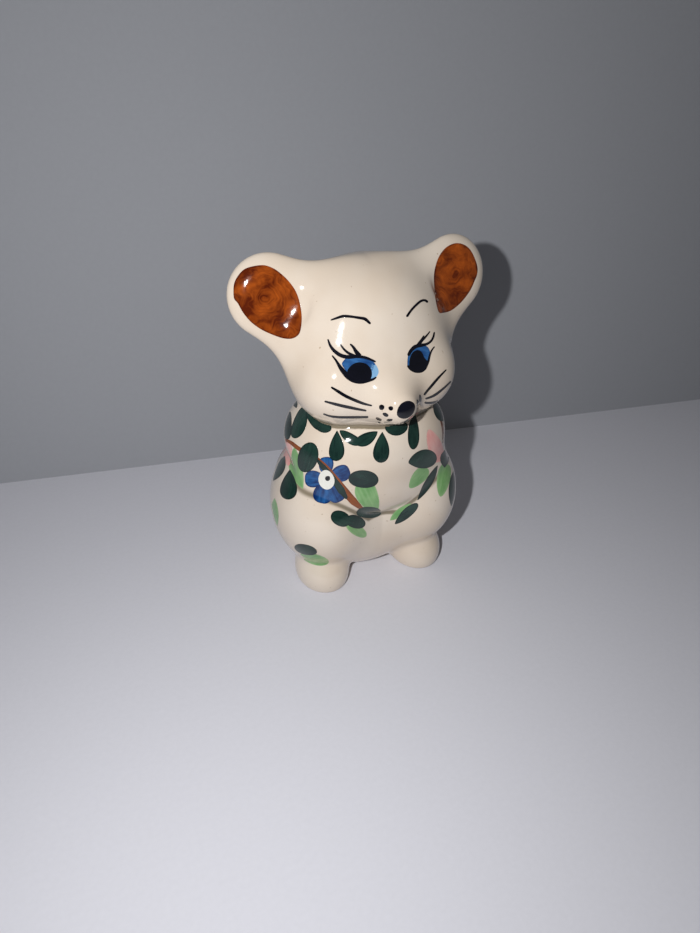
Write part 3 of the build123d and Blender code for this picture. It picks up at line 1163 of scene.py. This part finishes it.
# The sides and the back aren't in the picture, so the same few motifs go on round the figure.
# Each is seen from the side that it is on: paint, start, end, width, shape and bend, in mm.
longLeaf = [("Dark", (0, 1.6), (0, -5.6), 3.5, "drop", 0)]
leafPair = [
    ("Dark", (-0.5, 1.8), (-2.8, -1.8), 2.1, "seed", 0.2), ("Dark", (0.5, 1.8), (2.8, -1.8), 2.1, "seed", -0.2)]
hipLeaves = [
    ("Light", (-1.6, -1.2), (5.2, -3.0), 2.8, "oval", 0.2), ("Dark", (-3.2, 1.2), (3.0, 0.0), 2.8, "oval", 0)]
pinkFlower = [
    ("Light", (0.2, -1.4), (0.8, -8.6), 3.6, "lens", 0), ("Pink", (0, 0.5), (-1.0, 6.8), 4.2, "fan", 0),
    ("Pink", (0.6, 0.2), (5.6, 3.8), 4.2, "fan", 0), ("Pink", (-0.6, 0), (-5.8, 2.0), 4.0, "fan", 0),
    ("Dark", (0.6, -1.0), (5.2, -5.4), 3.4, "seed", 0), ("Dark", (-0.6, -1.0), (-4.8, -5.8), 3.4, "seed", 0)]
blueFlower = [
    ("Light", (5.0, 1.6), (10.8, 4.0), 4.2, "fan", 0), ("Light", (-5.0, -2.2), (-10.2, -6.2), 4.2, "fan", 0),
    ("Blue", (0, 1.0), (0, 5.8), 4.2, "fan", 0), ("Blue", (0.9, 0.3), (5.6, 1.7), 4.2, "fan", 0),
    ("Blue", (0.6, -0.8), (3.4, -4.9), 4.2, "fan", 0), ("Blue", (-0.6, -0.8), (-3.4, -4.9), 4.2, "fan", 0),
    ("Blue", (-0.9, 0.3), (-5.6, 1.7), 4.2, "fan", 0),
    ("Dark", (5.4, 5.2), (9.6, 8.6), 3.6, "seed", 0), ("Dark", (6.0, -1.6), (11.2, -2.6), 4.2, "oval", 0),
    ("Dark", (-5.6, 3.6), (-9.8, 6.8), 4.2, "oval", 0), ("Dark", (-5.0, -7.0), (-9.4, -9.8), 3.4, "seed", 0)]
sidePaints = {"Dark": ("leavesDark", "leafDark", 2), "Light": ("leavesLight", "leafLight", 0),
              "Pink": ("flowersPink", "petalPink", 0), "Blue": ("flowerBlue", "petalBlue", 0)}
sideMotifs = [  # motif, degrees round the figure, height, turn and how far from above it is seen
    (pinkFlower, 93, 24, 8, 15), (pinkFlower, 233, 24, -8, 15), (blueFlower, 180, 23, 0, 12),
    (hipLeaves, 122, 14, 10, 0), (hipLeaves, 150, 9, -5, 0), (hipLeaves, 207, 9, 12, 0), (hipLeaves, 245, 11, -8, 0)]
for step, swing in enumerate(range(70, 250, 26)):
    sideMotifs.append((leafPair if step % 2 else longLeaf, swing, 38, 0, 35))

for motif, swing, height, turn, rise in sideMotifs:
    onSide = Drawing(sideRay(swing, height, turn, rise), bodyTree, unit=1.0, step=0.23)
    for paint, start, end, width, shape, bend in motif:
        piece, colour, layer = sidePaints[paint]
        dab(piece, colour, onSide, start, end, width, shape, bend, layer)
    if motif is blueFlower:
        layFilm("stems", "stemBrown", onSide, lineOutline(
            [(-11.5, 9.5), (-6, 5.2), (0, 0), (5, -5.2), (9, -9.5)], (0.8, 1.0, 1.5, 1.8, 0.7), 0.2), layer=1)
        dab("flowerHeart", "centreWhite", onSide, (0, 2), (0, -2), 3.6, "oval", 0, 3)
        dab("flowerDot", "lineBlack", onSide, (-0.7, 0), (0.7, 0), 1.4, "oval", 0, 4)
print("body painted")

# Ears
earLeftOutline = [(434, 285), (434.5, 272), (438, 259), (443, 250.5), (449, 245.5), (456, 243.3), (463, 244.5),
                  (469, 248.5), (474, 256), (477.7, 266), (477.5, 274), (474.5, 281), (470.5, 289), (465, 297),
                  (459, 304), (451, 310.5), (443, 313), (438.5, 312), (435.3, 300)]
earRightOutline = [(233, 292), (234, 283), (238.5, 275), (245, 269), (254, 266.3), (264, 265.5), (273, 268.5),
                   (281, 274), (289, 281.5), (296, 291), (300, 302), (301.8, 315), (301, 327), (298.5, 334.5),
                   (292, 338.5), (283, 338.3), (272, 334.5), (261, 329), (251, 321.5), (243, 312.5), (237.5, 303.5),
                   (233.8, 299)]
for outline, way, middle in ((earRightOutline, ((262, 268), (278, 336)), (263, 297)),
                             (earLeftOutline, ((455, 246), (445, 310)), (457, 273))):
    layFilm("earPaint", "earBrown", photoOnHead, smoothLine(outline, 1.0, True), way, uneven=0.6, middle=middle)

# Face, all lines with a pointed brush: the points along each, and its widths
faceLines = [
    [(331, 320), (337, 318), (343, 316.3), (350, 316.5), (358, 317.6), (364.5, 318.8), (367.5, 321), (370, 323.5)],
    [(407, 316.3), (411, 310.5), (416, 305), (421, 301), (425, 300.4), (427.3, 302)],
    [(328, 339.5), (330.5, 346), (335, 351.5), (341, 355.5), (348, 357), (356, 356.5), (364, 357.3), (370, 359.3),
     (375.3, 361.7)],
    [(340.3, 344.3), (344.5, 349.8), (349.5, 353.7), (355.5, 356.5)],
    [(350.3, 344.2), (353.5, 347.5), (356, 351.5), (359.5, 356)],
    [(332.3, 355.8), (336, 360.5), (340, 367), (344, 372.3), (349, 377.3), (355, 380.5), (362, 381.5),
     (369, 380.3), (373, 379.3), (376, 377.3)],
    [(408.5, 355), (411, 350.5), (415, 346.8), (420, 345.5), (426, 344.3), (430.5, 341.5), (433, 337.5),
     (434.2, 332.5)],
    [(418, 346), (422.5, 340), (426.5, 335.7), (429.8, 331.5)],
    [(416.5, 346), (420, 341), (423.8, 335.8)],
    [(434.3, 346.8), (431.5, 350.5), (429.5, 356), (428, 362), (425, 367.5)],
    [(407.8, 366), (411, 369.3), (416, 371.2), (421.5, 370.7), (425.5, 367.5)],
    [(331.5, 387.3), (338, 391.3), (346, 396.2), (356, 400.7), (364, 403.7), (371.8, 405.6)],
    [(325, 401.4), (335, 404), (345, 406.4), (356, 408.8), (366, 410.6)],
    [(323.5, 413.8), (330, 416), (338, 417), (350, 417.3), (367.8, 417)],
    [(446, 369.8), (440, 376), (433, 384), (427, 391), (424.3, 394.7)],
    [(450.5, 381.5), (446, 386), (439, 392), (433, 396), (425.8, 398.7)],
    [(440.5, 400.3), (434, 402.3), (429, 403), (425, 402.7)],
    [(419.7, 395), (420.3, 399), (420, 402.3)],
    [(417.2, 400), (417.7, 402.5), (417.3, 405.2)],
]
lineWidths = [
    (1.0, 1.8, 2.2, 2.1, 2.0, 2.3, 2.5, 1.6), (1.9, 1.8, 1.7, 1.9, 1.7), (1.0, 2.2, 3.0, 3.1, 3.0, 2.4, 2.0, 1.2),
    (1.1, 1.8, 2.2, 2.4), (1.2, 2.2, 3.2, 3.6), (1.1, 2.0, 3.4, 4.2, 4.2, 3.6, 2.6, 1.2),
    (2.2, 2.6, 3.0, 2.8, 2.2, 1.8, 1.5, 0.9), (2.4, 1.8, 1.5, 0.8), (1.6, 1.1, 0.8), (0.9, 1.4, 1.8, 2.4),
    (1.4, 2.4, 2.8, 2.4), (1.3, 2.4, 2.6, 2.4, 1.9, 1.1), (1.3, 2.2, 2.3, 2.0, 1.3), (0.9, 1.7, 1.8, 1.8, 1.5),
    (1.0, 1.7, 1.9, 1.5), (0.8, 1.6, 1.9, 1.2), (0.8, 1.5, 1.7, 1.4), (0.8, 1.5, 1.3), (1.0, 1.4, 1.0),
]
faceLineShare = 1.3  # the lines spread a little in the glaze
irisRight = [(341.8, 364), (344.5, 359.5), (348, 357), (358, 356.5), (367, 357.8), (373, 361.5), (375.7, 366),
             (373.5, 372), (372, 378), (360, 380), (349, 374), (345, 369.5)]
irisRightPale = [(371, 363), (375.5, 364.5), (378.3, 369.5), (378, 374), (375, 378), (370.5, 378.5), (369, 370)]
pupilRight = [(347.3, 371), (350, 366.7), (354.5, 363.3), (360, 362.2), (366, 363.7), (370, 367.5), (371.8, 372),
              (371, 378), (366, 381.5), (358, 381.5), (351, 378.5), (347.8, 375)]
irisLeft = [(407.3, 362), (408.2, 355), (411, 349), (415, 346), (421, 345), (427, 346.5), (429.7, 351),
            (429.2, 357), (427.5, 363), (424, 366), (412, 369), (408, 367)]
pupilLeft = [(409.3, 362.5), (410.5, 356), (413.5, 351.5), (418, 350), (422, 352.5), (424.5, 358), (427.5, 361.5),
             (427.5, 366.5), (424, 370.3), (418.5, 371.8), (413, 370.5), (409.5, 367.3)]
noseOutline = [(396.8, 413), (398, 408), (401.5, 403.5), (406.5, 401), (411, 401.3), (414.3, 403.8), (415, 408),
               (413.3, 412.5), (409.8, 416.5), (405, 418.6), (400.3, 418), (397.5, 415.8)]

layFilm("eyesBlue", "irisBlue", photoFine, smoothLine(irisRight, 0.6, True), ((345, 358), (374, 366)), 0, 0.2)
layFilm("eyesPale", "irisPale", photoFine, smoothLine(irisRightPale, 0.6, True), ((372, 364), (376, 378)), 0, 0.2)
layFilm("eyesBlue", "irisBlue", photoFine, smoothLine(irisLeft, 0.6, True), ((412, 348), (424, 352)), 0, 0.2)
layFilm("pupils", "lineBlack", photoFine, smoothLine(pupilRight, 0.6, True), None, 1, 0.2)
layFilm("pupils", "lineBlack", photoFine, smoothLine(pupilLeft, 0.6, True), None, 1, 0.2)
layFilm("nosePaint", "lineBlack", photoFine, smoothLine(noseOutline, 0.6, True), None, 1, 0.2)
for points, widths in zip(faceLines, lineWidths):
    wide = [faceLineShare * width for width in widths]
    layFilm("faceLines", "lineBlack", photoFine, lineOutline(points, wide, 0.5), (points[0], points[-1]), 2, 0.15)
whiskerDots = [
    ((379.5, 405.5), (384, 409), 5.2), ((388.7, 407), (393, 409.6), 4.2), ((382.7, 413.3), (388.5, 416), 3.3),
    ((375.6, 418), (381.7, 420), 2.4), ((386.6, 420.2), (392.6, 419.8), 2.5)]
for start, end, width in whiskerDots:
    dab("faceLines", "lineBlack", photoFine, start, end, width, "oval", 0, 2, 0.3)
layFilm("mouthLine", "lineBlack", photoFine, lineOutline(
    [(378.3, 422), (383, 424), (391, 425), (399, 424), (405, 421.6), (409.5, 418.7)],
    (0.7, 1.3, 1.4, 1.4, 1.2)), None, 2, 0.1)
layFilm("mouthCorner", "lipRed", photoFine, lineOutline(
    [(408.5, 419.3), (412, 416.5), (416, 413.8), (419.5, 411.6)], (1.2, 1.5, 1.4, 0.7)), None, 2, 0.1)
print("face painted")

paintPieces()
print("paint laid on")

# Floor, backdrop and light
stageSet = {
    # the standing sheet is the same paper as the floor, given a darker colour as painted shade for the light falling
    # off behind the figure
    "floorColour": shade(222, 222, 230), "sheetShadedColour": shade(162, 164, 170),
    "floorHalf": 0.9,
    "fold": ((-900.0, 164.0), (900.0, -56.2)),  # where the standing sheet meets the table, in mm
    "sheetHigh": 0.4, "sheetLean": 8.0,
    "worldStrength": 0.085,
    "keyPower": 0.28, "keySize": 0.0045, "keyAside": -27.0, "keyAbove": 8.0,
    "fillPower": 0.05, "fillSize": 0.5, "fillAside": -300.0, "fillAbove": 260.0,
    "lampAim": 45.0,  # the height on the figure that both lamps look at, in mm
}
paperLook = {"grainScale": 900.0, "grainShade": 0.94, "roughness": 0.9}


def paperMaterial(colour):
    material, tree, shader = newMaterial("palePaper")
    grain = noise(tree, objectPlace(tree), paperLook["grainScale"], 3.0)
    darker = tuple(paperLook["grainShade"] * v for v in colour[:3]) + (1.0,)
    plug(tree, shader.inputs["Base Color"], mixed(tree, grain, colour, darker))
    shader.inputs["Roughness"].default_value = paperLook["roughness"]
    return material, tree, shader


def stagePiece(name, points, faces, material):
    mesh = bpy.data.meshes.new(name)
    mesh.from_pydata(points, [], faces)
    mesh.materials.append(material)
    piece = bpy.data.objects.new(name, mesh)
    bpy.context.scene.collection.objects.link(piece)


def makeStage(setup):
    # a sheet of paper on the table, and one that stands close behind the figure
    half, high, lean = setup["floorHalf"], setup["sheetHigh"], math.radians(setup["sheetLean"])
    material, _, _ = paperMaterial(setup["floorColour"])
    corners = [(-half, -half, 0.0), (half, -half, 0.0), (half, half, 0.0), (-half, half, 0.0)]
    stagePiece("floor", corners, [(0, 1, 2, 3)], material)
    fold = [(x * mm, y * mm) for x, y in setup["fold"]]
    low = [(x, y, 0.0) for x, y in fold]
    top = [(x, y + high * math.sin(lean), high * math.cos(lean)) for x, y in fold]
    faces = [(k, k + 1, k + 1 + len(fold), k + len(fold)) for k in range(len(fold) - 1)]
    # painted shade: the standing sheet's paper is darker than the floor's
    material, tree, shader = paperMaterial(setup["sheetShadedColour"])
    clear = tree.nodes.new("ShaderNodeBsdfTransparent")  # from behind, the figure is seen through the sheet
    choose = tree.nodes.new("ShaderNodeMixShader")
    tree.links.new(tree.nodes.new("ShaderNodeNewGeometry").outputs["Backfacing"], choose.inputs[0])
    tree.links.new(shader.outputs[0], choose.inputs[1])
    tree.links.new(clear.outputs[0], choose.inputs[2])
    tree.links.new(choose.outputs[0], tree.nodes["Material Output"].inputs[0])
    stagePiece("standingSheet", low + top, faces, material)
    world = bpy.data.worlds.new("softRoom")
    world.use_nodes = True
    world.node_tree.nodes["Background"].inputs["Color"].default_value = (1.0, 1.0, 1.0, 1.0)
    world.node_tree.nodes["Background"].inputs["Strength"].default_value = setup["worldStrength"]
    bpy.context.scene.world = world
    right, up, ahead = cameraAxes(cameraSet)
    for name in ("key", "fill"):
        data = bpy.data.lights.new(name + "Light", "AREA")
        data.shape = "DISK"
        data.energy, data.size = setup[name + "Power"], setup[name + "Size"]
        lamp = bpy.data.objects.new(name + "Light", data)
        place = cameraPlace(cameraSet) + (right * setup[name + "Aside"] + up * setup[name + "Above"]) * mm
        aim = Vector((0, 0, setup["lampAim"] * mm)) - place
        lamp.matrix_world = Matrix.Translation(place) @ aim.to_track_quat("-Z", "Y").to_matrix().to_4x4()
        bpy.context.scene.collection.objects.link(lamp)


makeStage(stageSet)
bpy.context.scene.view_settings.view_transform = "Standard"
print("stage set")
